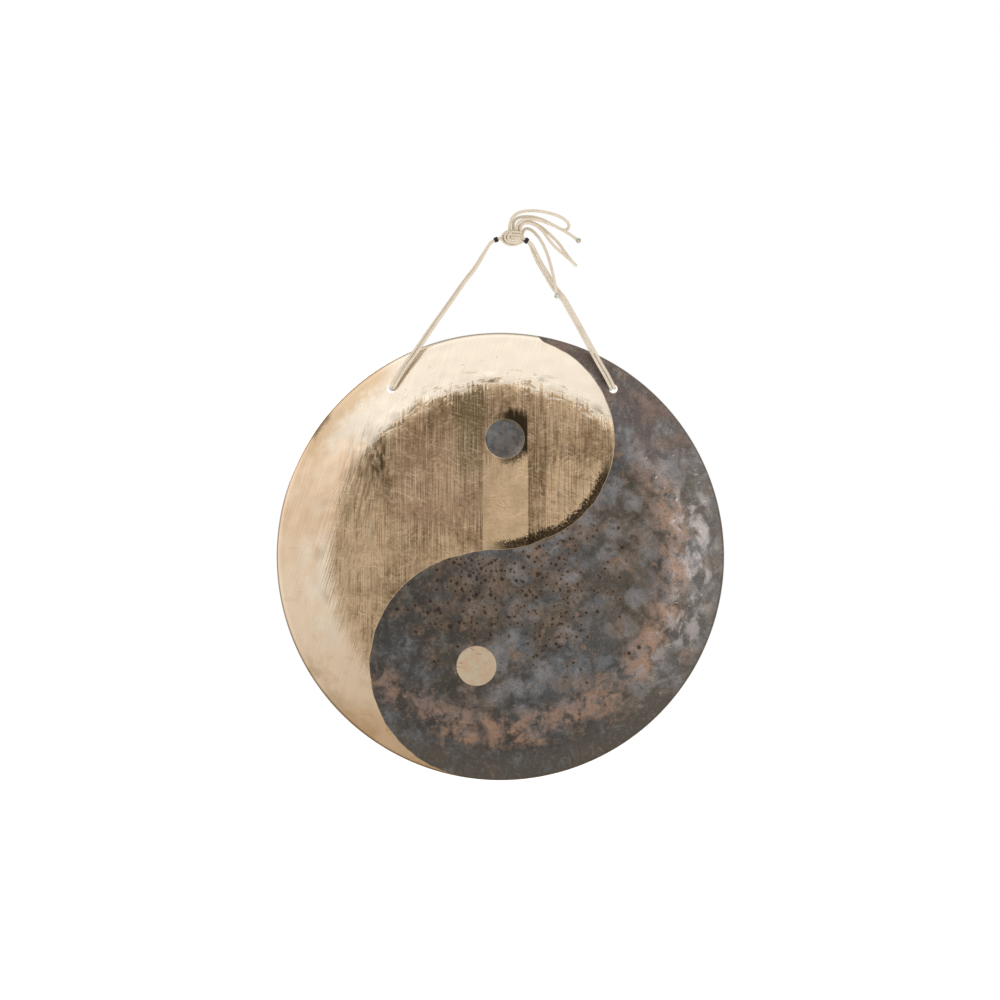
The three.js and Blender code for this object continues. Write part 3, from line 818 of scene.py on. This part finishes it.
def disc_front():
    """The struck face: a bright half and a dark half, each with a dot of the other."""
    g = DiscGraph("bronze_face")
    side = bright_side(g)
    in_dark_dot = in_dot(g, DARK_DOT, DARK_DOT_RADIUS)
    in_bright_dot = in_dot(g, BRIGHT_DOT, BRIGHT_DOT_RADIUS)
    bright = g.share(side, -EDGE_SOFTNESS, EDGE_SOFTNESS)
    bright = g.product(bright, g.math("SUBTRACT", 1.0, in_dark_dot))
    bright = g.largest(bright, in_bright_dot)
    bright_colour, bright_rough, bright_height = bright_half(g)
    dark_colour, dark_rough, dark_height = dark_half(g, in_dark_dot)

    outline = g.product((side, 0.0045, 0.002), (side, 0.0, 0.001), 0.7)
    from_dot = g.distance(g.flat, DARK_DOT)
    dot_edge = g.between(from_dot, DARK_DOT_RADIUS, DARK_DOT_RADIUS + EDGE_SOFTNESS, EDGE_SOFTNESS)
    dot_cloud = g.share(g.noise(g.flat, 24, 5, 0.62), 0.35, 0.65)
    dents = g.share(g.streaks(g.turned(g.flat, 80), 90, 26, 4), 0.42, 0.30)
    dot_colour = g.mix(dot_cloud, (1.0, 0.76, 0.55), (1.0, 0.90, 0.72))
    bright_colour = g.painted(
        bright_colour,
        (soot_on_bright(g, side), 0.96, (0.036, 0.024, 0.013)),
        (g.largest(outline, g.product(dot_edge, 0.4)), 0.85, (0.86, 0.70, 0.48)),
        (in_bright_dot, 1.0, g.painted(dot_colour, (dents, 0.6, (0.45, 0.32, 0.22)))),
    )
    # painted shade: a thin dark line round the turned-back rim
    rim = g.share(g.out, 0.9905, 0.9955)
    colour = g.mix(bright, dark_colour, bright_colour)
    bright_height = g.product(bright_height, g.blend(in_bright_dot, 1.0, 0.35))
    height = g.blend(bright, g.product(dark_height, 0.8), bright_height)
    g.set(Base_Color=g.painted(colour, (rim, 0.75, (0.10, 0.075, 0.055))))
    g.set(Metallic=g.blend(bright, DARK_METALLIC, 1.0))
    g.set(Roughness=g.blend(bright, dark_rough, bright_rough))
    g.set(Normal=g.bump(height, *DISC_BUMP))
    return g.material


def disc_back():
    """The back: darkened by the fire like the front's dark half, and faintly ringed by the lathe."""
    g = DiscGraph("bronze_back")
    colour, rough, height = dark_half(g, 0.0)
    scraped = g.wisps(2.2, 120)
    ringed = g.noise(g.joined(g.product(g.out, 11), 0.0, 0.0), 1.0, 2)
    shine = g.product((scraped, 0.52, 0.66), (ringed, 0.42, 0.66))
    g.set(Base_Color=g.painted(colour, (shine, 0.35, (0.50, 0.37, 0.25))), Metallic=DARK_METALLIC)
    g.set(Roughness=g.math("SUBTRACT", rough, g.product(shine, 0.1)))
    g.set(Normal=g.bump(g.add(height, g.product(scraped, 0.6)), *DISC_BUMP))
    return g.material


# ---- The cord round the disc ----


def rooted(route, both_ends):
    """The route as a line, with its cord run on inside the knot."""
    points = np.array(route, float)
    points = np.vstack([points[0] + unit(points[0] - points[1]) * ROOT_LENGTH, points])
    if both_ends:
        points = np.vstack([points, points[-1] + unit(points[-1] - points[-2]) * ROOT_LENGTH])
    return laid_line(points)


def cord_piece(name, line, nodes, material, start=0.0, frames=None):
    """A stretch of cord as a piece that stands for those nodes."""
    tubes = Tubes()
    tubes.add_cord(line, start, frames)
    return tubes.made(name, material, "cord", *nodes)


def whole_strand(side):
    """One strand's whole line: out of the knot, down, round the back of the disc and up again."""
    sideways, upright = (1, 0, 0), (0, 0, 1)
    down = [strand_points(route, sideways, side) for route in (LEFT_TOP, LEFT_LEG)]
    up = [strand_points(route, sideways, side)[::-1] for route in (RIGHT_LEG, RIGHT_TOP)]
    return rooted(np.vstack([*down, strand_points(BACK, upright, side), *up]), both_ends=True)


def make_strands(material):
    """Each strand in three pieces: a top at each end, out to where it leaves the binding, and
    the long run between them, which goes through the holes."""
    for number, side in ((1, 1), (2, -1)):
        line = whole_strand(side)
        frames = carried_frames(line)
        top = round(TOP_STRETCH / CORD_STEP)
        bottom = len(line) - 1 - top

        def cut(name, nodes, first, last):
            part = slice(first, last + 1)
            cut_frames = (frames[0][part], frames[1][part])
            return cord_piece(name, line[part], nodes, material, first * CORD_STEP, cut_frames)

        for place, first, last in (("left", 0, top), ("right", bottom, len(line) - 1)):
            piece = cut(f"strand_top_{place}_{number}", [f"cord_top_{place}_{number}"], first, last)
            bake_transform(piece)
        nodes = [f"cord_{part}_{number}" for part in ("leg_left", "back", "leg_right")]
        piece = cut(f"strand_run_{number}", nodes, top, bottom)
        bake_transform(piece)


# ---- The loose ends ----

BEAD_LENGTH = 0.0065
BEAD_RADII = np.array([1.7, 1.8, 1.9, 2.1, 2.3, 2.6, 2.8, 2.9, 3, 3, 2.9, 2.6, 2.1, 1.3, 0.2]) / 1000
BEAD_FLATNESS = 0.72  # its depth from front to back, as a share of its width
BEAD_OVERLAP = 0.12  # share of the bead that lies round the cord's end
BEAD_SIDES = 28
LUMP_DEPTH = 0.0016
LUMP_TWIST = 700  # radians that the lumps turn in a metre along it


def make_bead(name, line, material, seed):
    """The cut end, melted to a lump: flared, flattened front to back, and uneven."""
    rng = random.Random(seed)
    count = len(BEAD_RADII)
    along = unit(line[-1] - line[-8])
    side = unit(np.cross(along, (0, 1, 0)))
    deep = np.cross(side, along) * BEAD_FLATNESS
    waves = [(rng.uniform(0, 2 * math.pi), rng.uniform(0.04, 0.1)) for _ in range(4)]
    run = np.arange(count) / (count - 1) - BEAD_OVERLAP
    centres = line[-1] + along * BEAD_LENGTH * run[:, None]

    def uneven(away, angle):
        twist = away * LUMP_TWIST
        return 1 + sum(size * np.sin(k * angle + start + twist) for k, (start, size) in enumerate(waves, 1))

    tubes = Tubes()
    frames = (np.tile(side, (count, 1)), np.tile(deep, (count, 1)))
    tubes.add(centres, BEAD_RADII, BEAD_SIDES, uneven, LUMP_DEPTH, frames=frames)
    return tubes.made(name + "_melted", material, "melted_end", name)


def make_loose_ends(cord_material, bead_material):
    for name, route in (("upper", UPPER_LOOP), ("lower", LOWER_LOOP)):
        line = rooted(route, both_ends=True)
        loop = cord_piece(f"bight_{name}", line, [f"tail_loop_{name}"], cord_material)
        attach(loop, "hanger")

    line = rooted(UPPER_END, both_ends=False)
    end = cord_piece("loose_end_upper", line, ["tail_end_upper"], cord_material)
    bead = make_bead("tail_bead_upper", line, bead_material, 3)
    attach(end, "hanger")
    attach(bead, "hanger")

    line = rooted(LOWER_END_TOP + LOWER_END_HANG, both_ends=False)
    nodes = ["tail_end_lower_top", "tail_end_lower_hang"]
    end = cord_piece("loose_end_lower", line, nodes, cord_material)
    bead = make_bead("tail_bead_lower", line, bead_material, 8)
    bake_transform(end)
    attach(bead, "cord_legs")


# ---- The knot ----

# Each turn of cord as points x, z in shares of the knot's half size, and then how far towards
# the front (-1) or the back (1) it lies. Turns that pass under others are nearer 0.
OUTER_TURN = [
    (0.9, -0.3, -0.2), (0.78, -0.58, -0.75), (0.5, -0.84, -0.95), (0.05, -0.96, -0.9),
    (-0.48, -0.84, -1), (-0.86, -0.46, -1), (-0.97, 0.04, -0.9), (-0.82, 0.5, -1), (-0.46, 0.84, -0.95),
    (-0.24, 0.98, -0.2), (-0.34, 0.84, 0.8), (-0.42, 0.3, 1), (-0.42, -0.3, 1), (-0.34, -0.8, 0.8),
    (-0.1, -0.6, 0.2),
]
MIDDLE_TURN = [
    (0.88, -0.1, -0.2), (0.74, -0.42, -0.85), (0.42, -0.62, -1), (0.0, -0.66, -1), (-0.4, -0.52, -1),
    (-0.66, -0.14, -1), (-0.66, 0.28, -1), (-0.46, 0.62, -1), (-0.16, 0.88, -0.6), (-0.02, 0.98, 0.2),
    (-0.06, 0.7, 0.95), (-0.1, 0.2, 1.03), (-0.08, -0.35, 1), (-0.02, -0.85, 0.7), (0.1, -0.6, 0.1),
]
INNER_TURN = [
    (0.8, 0.05, -0.2), (0.66, -0.22, -0.85), (0.36, -0.32, -1), (0.0, -0.36, -1), (-0.26, -0.28, -1.04),
    (-0.38, 0.0, -1.06), (-0.3, 0.34, -1.04), (-0.1, 0.62, -0.95), (0.18, 0.9, -0.4), (0.3, 0.9, 0.4),
    (0.26, 0.6, 0.95), (0.22, 0.1, 1.03), (0.24, -0.4, 1), (0.3, -0.85, 0.6), (0.1, -0.5, 0.0),
]
CROSS_TURN_LEVELS = (0.74, 0.36, -0.01)  # turns that lie level across the knot's right half
END_TURN = [
    (0.8, 0.72, -0.5), (0.97, 0.36, -0.55), (1.0, -0.06, -0.5), (0.9, -0.5, -0.5), (0.8, -0.66, 0.1),
    (0.9, -0.4, 0.6), (0.97, 0.0, 0.7), (0.9, 0.45, 0.6), (0.78, 0.78, 0.1), (0.8, 0.72, -0.5),
]
CORE_TURNS = [(y, z) for z in (0.35, -0.35) for y in (0.35, -0.35)]
ROUNDNESS = 2.6  # 2 would make the knot an ellipsoid: more makes it squarer
OPEN_FACING = 0.8  # how far outwards the surface faces where it gets no painted crevice shade at all


def cross_turn(level):
    return [
        (-0.5, level * 0.8, -0.45), (-0.22, level * 0.96, -0.8), (0.06, level, -1), (0.42, level, -1.02),
        (0.68, level * 0.94, -0.92), (0.86, level * 0.86, -0.2), (0.84, level * 0.86, 0.5),
        (0.6, level * 0.94, 0.95), (0.2, level, 0.75), (-0.2, level, 0.72), (-0.62, level * 0.9, 0.95),
        (-0.86, level * 0.6, 0.5), (-0.6, level * 0.5, 0.1),
    ]


def mark_crevices(mesh, middle, half):
    """Marks how far the cord's surface faces away from the knot's outside, from 0 to 1, as painted crevice
    shade.
    """
    outward = unit((read_vectors(mesh.vertices, "co") - middle) / half**2)
    facing = (outward * read_vectors(mesh.vertex_normals, "vector")).sum(axis=1)
    write_attribute(mesh, "crevice_shade", np.clip(1 - facing / OPEN_FACING, 0, 1))


def make_knot(material):
    low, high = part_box("hanging_knot")
    middle = np.array((low + high) / 2)
    half = np.array((high - low) / 2) - CORD_DIAMETER / 2
    tubes = Tubes()

    def on_knot(turn):
        x, z, depth = np.array(turn, float).T
        left = 1 - np.abs(x) ** ROUNDNESS - np.abs(z) ** ROUNDNESS
        return np.stack([x, depth * np.clip(left, 0, 1) ** (1 / ROUNDNESS), z], 1)

    turns = [on_knot(turn) for turn in (OUTER_TURN, MIDDLE_TURN, INNER_TURN, END_TURN)]
    turns += [on_knot(cross_turn(level)) for level in CROSS_TURN_LEVELS]
    turns += [np.array([(-0.8, y, z * 0.4), (0, y, z), (0.8, y, z * 0.4)]) for y, z in CORE_TURNS]
    for turn in turns:
        tubes.add_cord(laid_line(middle + turn * half))
    knot = tubes.made("knot_turns", material, "cord", "hanging_knot")
    mark_crevices(knot.data, middle, half)
    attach(knot, "hanger")


# ---- The bindings ----

THREAD_DIAMETER = 0.0006
THREAD_SIDES = 8
THREAD_STEP = 0.0003
THREAD_SLACK = (-0.00006, 0.00008)
BINDING_LENGTH = 0.0048
BINDING_LAYERS = ((0.00205, 1), (0.0026, -1))  # how far out each is wound, and which way it runs
BINDING_TURNS = 9
BINDING_PLACE = 0.55  # share of the way along the stretch that it binds
TURN_POINTS = 36


def make_binding(side, route, material, seed):
    """Black thread wound round the doubled cord in two layers, its turns not quite even."""
    rng = random.Random(seed)
    points = laid_line([row[:3] for row in route], CORD_STEP / 4)
    at = round(BINDING_PLACE * (len(points) - 1))
    along = unit(points[at + 1] - points[at - 1])
    turn = math.radians(route[0][3] - 90)
    level = np.array((0, math.cos(turn), 0)) + np.cross(along, (0, 1, 0)) * math.sin(turn)
    across = np.cross(level, along)
    tubes = Tubes()
    for layer, (reach, way) in enumerate(BINDING_LAYERS):
        length = way * (BINDING_LENGTH - THREAD_DIAMETER * (1 + layer))
        line = []
        for turn_number in range(BINDING_TURNS):
            radius = reach + rng.uniform(*THREAD_SLACK)
            for i in range(TURN_POINTS):
                angle = 2 * math.pi * i / TURN_POINTS
                run = (turn_number + i / TURN_POINTS) / BINDING_TURNS - 0.5
                flat = PAIR_SPACING / 2 * max(-1, min(1, 2.5 * math.sin(angle)))
                out = across * math.cos(angle) * radius + level * (flat + math.sin(angle) * radius)
                line.append(points[at] + out + along * length * run)
        tubes.add(resampled(np.array(line), THREAD_STEP), THREAD_DIAMETER / 2, THREAD_SIDES)
    name = f"thread_winding_{side}"
    binding = tubes.made(name, material, "black_thread", f"thread_binding_{side}")
    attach(binding, "hanger")


# ---- The disc ----

GRID_HALF = 96  # squares from the disc's middle to where its lip starts
LIP_POINTS = 8
LIP_BEND_REACH = LIP_BEND_RADIUS * (math.sin(LIP_ANGLE) - math.sin(FLARE_ANGLE))
LIP_START = DISC_RADIUS - LIP_LENGTH * math.cos(LIP_ANGLE) - LIP_BEND_REACH
DRILL_SIDES = 64
DRILL_REACH = 0.05  # in front of the face and behind it
DENT_TRIES = 6000
DENT_SPACING = 0.0155
DENT_RADII = (0.009, 0.016)
DENT_DEPTHS = (0.00010, 0.00034)
RING_DENT_SHARE = 0.3  # of that depth, in the smooth outer ring
EDGE_DENTS = 90  # closer together, along the hammered middle's edge
EDGE_DENT_REACH = (0.725, 0.80)  # of the disc's radius
EDGE_DENT_RADII = (0.006, 0.012)
EDGE_DENT_DEPTHS = (0.00012, 0.0003)
DENT_LIMIT = 0.985  # of the disc's radius: there is no dent outside it
DENT_FADE = 0.03  # how far inside that limit dents are whole
CREASE_ANGLE = math.radians(40)
BACK_LEAN = 0.05  # a face whose normal goes this far back is part of the back


def flare_depth(radius):
    """How far back the front face stands at a radius, and how much it leans, before the lip."""
    bend_end = FLAT_RADIUS + FLARE_BEND_RADIUS * math.sin(FLARE_ANGLE)
    lean = np.arcsin(np.clip((radius - FLAT_RADIUS) / FLARE_BEND_RADIUS, 0, math.sin(FLARE_ANGLE)))
    depth = FLARE_BEND_RADIUS * (1 - np.cos(lean))
    return depth + np.clip(radius - bend_end, 0, None) * math.tan(FLARE_ANGLE), lean


def lip_profile():
    """Radius, depth and lean of points round the turned-back lip, from the flare's end outwards."""
    middle_radius = LIP_START - LIP_BEND_RADIUS * math.sin(FLARE_ANGLE)
    middle_depth = float(flare_depth(LIP_START)[0]) + LIP_BEND_RADIUS * math.cos(FLARE_ANGLE)
    rows = []
    for i in range(1, LIP_POINTS + 1):
        lean = FLARE_ANGLE + (LIP_ANGLE - FLARE_ANGLE) * i / LIP_POINTS
        radius = middle_radius + LIP_BEND_RADIUS * math.sin(lean)
        rows.append((radius, middle_depth - LIP_BEND_RADIUS * math.cos(lean), lean))
    radius, depth, lean = rows[-1]
    for run in (LIP_LENGTH / 2, LIP_LENGTH):
        rows.append((radius + run * math.cos(lean), depth + run * math.sin(lean), lean))
    return rows


def joined_rings(one, other):
    """The four-sided faces between two rings of points."""
    return np.stack([one, np.roll(one, -1), np.roll(other, -1), other], 1)


def disc_sheet():
    """The plain sheet, as points and as its front, back and edge faces: squares mapped onto the
    round, with rings of its lip outside them."""
    n = GRID_HALF
    j, i = np.meshgrid(np.arange(-n, n + 1), np.arange(-n, n + 1))
    ring = np.maximum(abs(i), abs(j))
    along = np.where(abs(i) >= abs(j), j * np.sign(i), -i * np.sign(j)) / np.maximum(ring, 1)
    corner = np.where(abs(i) >= abs(j), np.where(i >= 0, 0, 2), np.where(j >= 0, 1, 3))
    angle = (corner + along / 2) * np.pi / 2
    radius = ring / n * LIP_START
    rows = np.stack([radius, *flare_depth(radius), angle], -1).reshape(-1, 4)
    size = 2 * n + 1
    square = (np.arange(size - 1)[:, None] * size + np.arange(size - 1)).reshape(-1)
    faces = [np.stack([square, square + 1, square + size + 1, square + size], 1)]

    edge = np.flatnonzero(ring.reshape(-1) == n)
    last = edge = edge[np.argsort(rows[edge, 3] % (2 * np.pi))]
    for lip_row in lip_profile():
        new = np.arange(len(rows), len(rows) + len(edge))
        lip_rows = np.column_stack([np.tile(lip_row, (len(edge), 1)), rows[edge, 3]])
        rows = np.vstack([rows, lip_rows])
        faces.append(joined_rings(last, new))
        last = new
    front = np.vstack(faces)

    def points(thickness):
        radius, depth, lean, angle = rows.T
        radius = radius - thickness * np.sin(lean)
        depth = depth + thickness * np.cos(lean)
        return np.stack([radius * np.cos(angle), depth, radius * np.sin(angle)], 1) + np.array(DISC_CENTRE)

    back = (front + len(rows))[:, ::-1]
    edge_faces = joined_rings(last, last + len(rows))
    return np.vstack([points(0), points(SHEET_THICKNESS)]), front, back, edge_faces


def drilled(sheet):
    """Cuts the two cord holes through the sheet."""
    for hole_x in HOLE_XS:
        angle = np.linspace(0, 2 * np.pi, DRILL_SIDES, endpoint=False)
        x, z = np.cos(angle) * HOLE_RADIUS + hole_x, np.sin(angle) * HOLE_RADIUS + HOLE_Z
        ends = [np.stack([x, np.full(DRILL_SIDES, y), z], 1) for y in (-DRILL_REACH, DRILL_REACH)]
        near = np.arange(DRILL_SIDES)
        far = near + DRILL_SIDES
        sides = np.stack([near, far, np.roll(far, -1), np.roll(near, -1)], 1)
        mesh = bpy.data.meshes.new("drill")
        mesh.from_pydata(np.vstack(ends).tolist(), [], [*sides.tolist(), near.tolist(), far[::-1].tolist()])
        drill = placed("drill", mesh)
        cut = sheet.modifiers.new("hole", "BOOLEAN")
        cut.operation = "DIFFERENCE"
        cut.solver = "EXACT"
        cut.object = drill
        cut_sheet = sheet.evaluated_get(bpy.context.evaluated_depsgraph_get())
        cut_mesh = bpy.data.meshes.new_from_object(cut_sheet)
        sheet.modifiers.clear()
        sheet.data = cut_mesh
        bpy.data.objects.remove(drill)


def hammer_marks():
    """Where the hammer fell: centres, radii and depths, the same each run."""
    rng = random.Random(11)
    marks = []
    for _ in range(DENT_TRIES):
        radius = DISC_RADIUS * math.sqrt(rng.random())
        angle = rng.uniform(0, 2 * math.pi)
        x, z = radius * math.cos(angle), radius * math.sin(angle)
        if all(math.hypot(x - m[0], z - m[1]) > DENT_SPACING for m in marks):
            outer = radius > HAMMERED_SHARE * DISC_RADIUS
            depth = rng.uniform(*DENT_DEPTHS) * (RING_DENT_SHARE if outer else 1)
            marks.append((x, z, rng.uniform(*DENT_RADII), depth))
    for _ in range(EDGE_DENTS):
        angle = rng.uniform(0, 2 * math.pi)
        radius = DISC_RADIUS * rng.uniform(*EDGE_DENT_REACH)
        size, depth = rng.uniform(*EDGE_DENT_RADII), rng.uniform(*EDGE_DENT_DEPTHS)
        marks.append((radius * math.cos(angle), radius * math.sin(angle), size, depth))
    return marks


def hammered(mesh):
    """Moves the sheet's points back by the hammer marks, down to nothing at its rim."""
    points = read_vectors(mesh.vertices, "co").astype(float)
    x, z = points[:, 0] - DISC_CENTRE.x, points[:, 2] - DISC_CENTRE.z
    sunk = np.zeros(len(points))
    for mark_x, mark_z, radius, depth in hammer_marks():
        away = ((x - mark_x) ** 2 + (z - mark_z) ** 2) / radius**2
        sunk += depth * np.clip(1 - away, 0, None) ** 2
    inside = DENT_LIMIT - np.hypot(x, z) / DISC_RADIUS
    points[:, 1] += sunk * np.clip(inside / DENT_FADE, 0, 1)
    mesh.vertices.foreach_set("co", points.astype(np.float32).reshape(-1))


def make_disc():
    points, *faces = disc_sheet()
    mesh = bpy.data.meshes.new("hammered_disc")
    mesh.from_pydata(points.tolist(), [], np.vstack(faces).tolist())
    mesh.validate()
    disc = placed("hammered_disc", mesh)
    drilled(disc)
    mesh = disc.data
    hammered(mesh)
    mesh.materials.clear()
    mesh.materials.append(disc_front())
    mesh.materials.append(disc_back())
    behind = read_vectors(mesh.polygons, "normal")[:, 1] > BACK_LEAN
    mesh.polygons.foreach_set("material_index", behind.astype(np.int32))
    mesh.shade_smooth()
    mesh.set_sharp_from_angle(angle=CREASE_ANGLE)
    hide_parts("gong_disc")
    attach(disc, "disc")


# ---- Studio ----

FLOOR_RADIUS = 7.0
FLOOR_SIDES = 96


def make_floor():
    """A pale floor that fades into the pale surroundings."""
    level = DISC_LOW.z - FLOOR_DROP
    angles = np.linspace(0, 2 * np.pi, FLOOR_SIDES, endpoint=False)
    ring = [(FLOOR_RADIUS * math.cos(angle), FLOOR_RADIUS * math.sin(angle), level) for angle in angles]
    mesh = bpy.data.meshes.new("floor")
    mesh.from_pydata(ring, [], [tuple(range(FLOOR_SIDES))])
    g = MaterialGraph("floor_paper")
    out = g.distance(g.object_place(), (0, 0, level))
    g.set(Base_Color=(0.9, 0.9, 0.9), Roughness=0.9, Specular_IOR_Level=0.1)
    g.set(Emission_Color=(1.0, 1.0, 1.0), Emission_Strength=0.45)
    g.set(Alpha=g.share(out, FLOOR_RADIUS * 0.9, FLOOR_RADIUS * 0.3))
    mesh.materials.append(g.material)
    floor = placed("floor", mesh)
    floor.visible_glossy = False


def make_world():
    """Pale surroundings; the light from them is dimmer from where the camera stands and from below."""
    world = bpy.data.worlds.new("studio")
    bpy.context.scene.world = world
    world.use_nodes = True
    world.node_tree.nodes.clear()
    g = Graph(world.node_tree)
    _, depth, height = g.split(g.node("ShaderNodeTexCoord", {}).outputs["Generated"])
    low_to_high = g.mix(g.share(height, -0.75, 0.3), (0.48, 0.40, 0.31), (1.04, 1.0, 0.94))
    light = g.mix(g.share(depth, -0.86, -0.975), low_to_high, (0.37, 0.34, 0.30))
    lit = g.node("ShaderNodeBackground", {0: light}).outputs[0]
    seen = g.node("ShaderNodeBackground", {0: (1.0, 1.0, 1.0)}).outputs[0]
    is_camera = g.node("ShaderNodeLightPath", {}).outputs["Is Camera Ray"]
    mixed = g.node("ShaderNodeMixShader", {0: is_camera, 1: lit, 2: seen}).outputs[0]
    g.node("ShaderNodeOutputWorld", {0: mixed})


def make_lamp(name, place, width, height, power, colour=(1, 1, 1)):
    """A softbox that faces the middle of the disc."""
    lamp = bpy.data.lights.new(name, "AREA")
    lamp.shape = "RECTANGLE"
    lamp.size, lamp.size_y = width, height
    lamp.energy = power
    lamp.color = colour
    softbox = placed(name, lamp)
    softbox.location = place
    softbox.rotation_mode = "QUATERNION"
    softbox.rotation_quaternion = (DISC_CENTRE - Vector(place)).to_track_quat("-Z", "Y")
    softbox.visible_camera = False


# ---- The whole ----

make_camera()
cord = cord_fibre()
make_strands(cord)
make_loose_ends(cord, melted_end())
make_knot(cord)
thread = black_thread()
make_binding("left", LEFT_TOP, thread, 21)
make_binding("right", RIGHT_TOP, thread, 22)
make_disc()

make_floor()
make_world()
make_lamp("softbox_above", (-0.1, -2.0, 0.95), 1.9, 0.8, 1.6)
make_lamp("softbox_left", (-0.85, -2.2, 0.42), 0.6, 0.6, 0.3)
make_lamp("softbox_right", (1.5, -1.9, -0.2), 0.5, 1.2, 5)
make_lamp("softbox_behind", (-1.2, 2.2, 0.6), 1.4, 1.0, 14)
bpy.context.scene.view_settings.view_transform = "Standard"
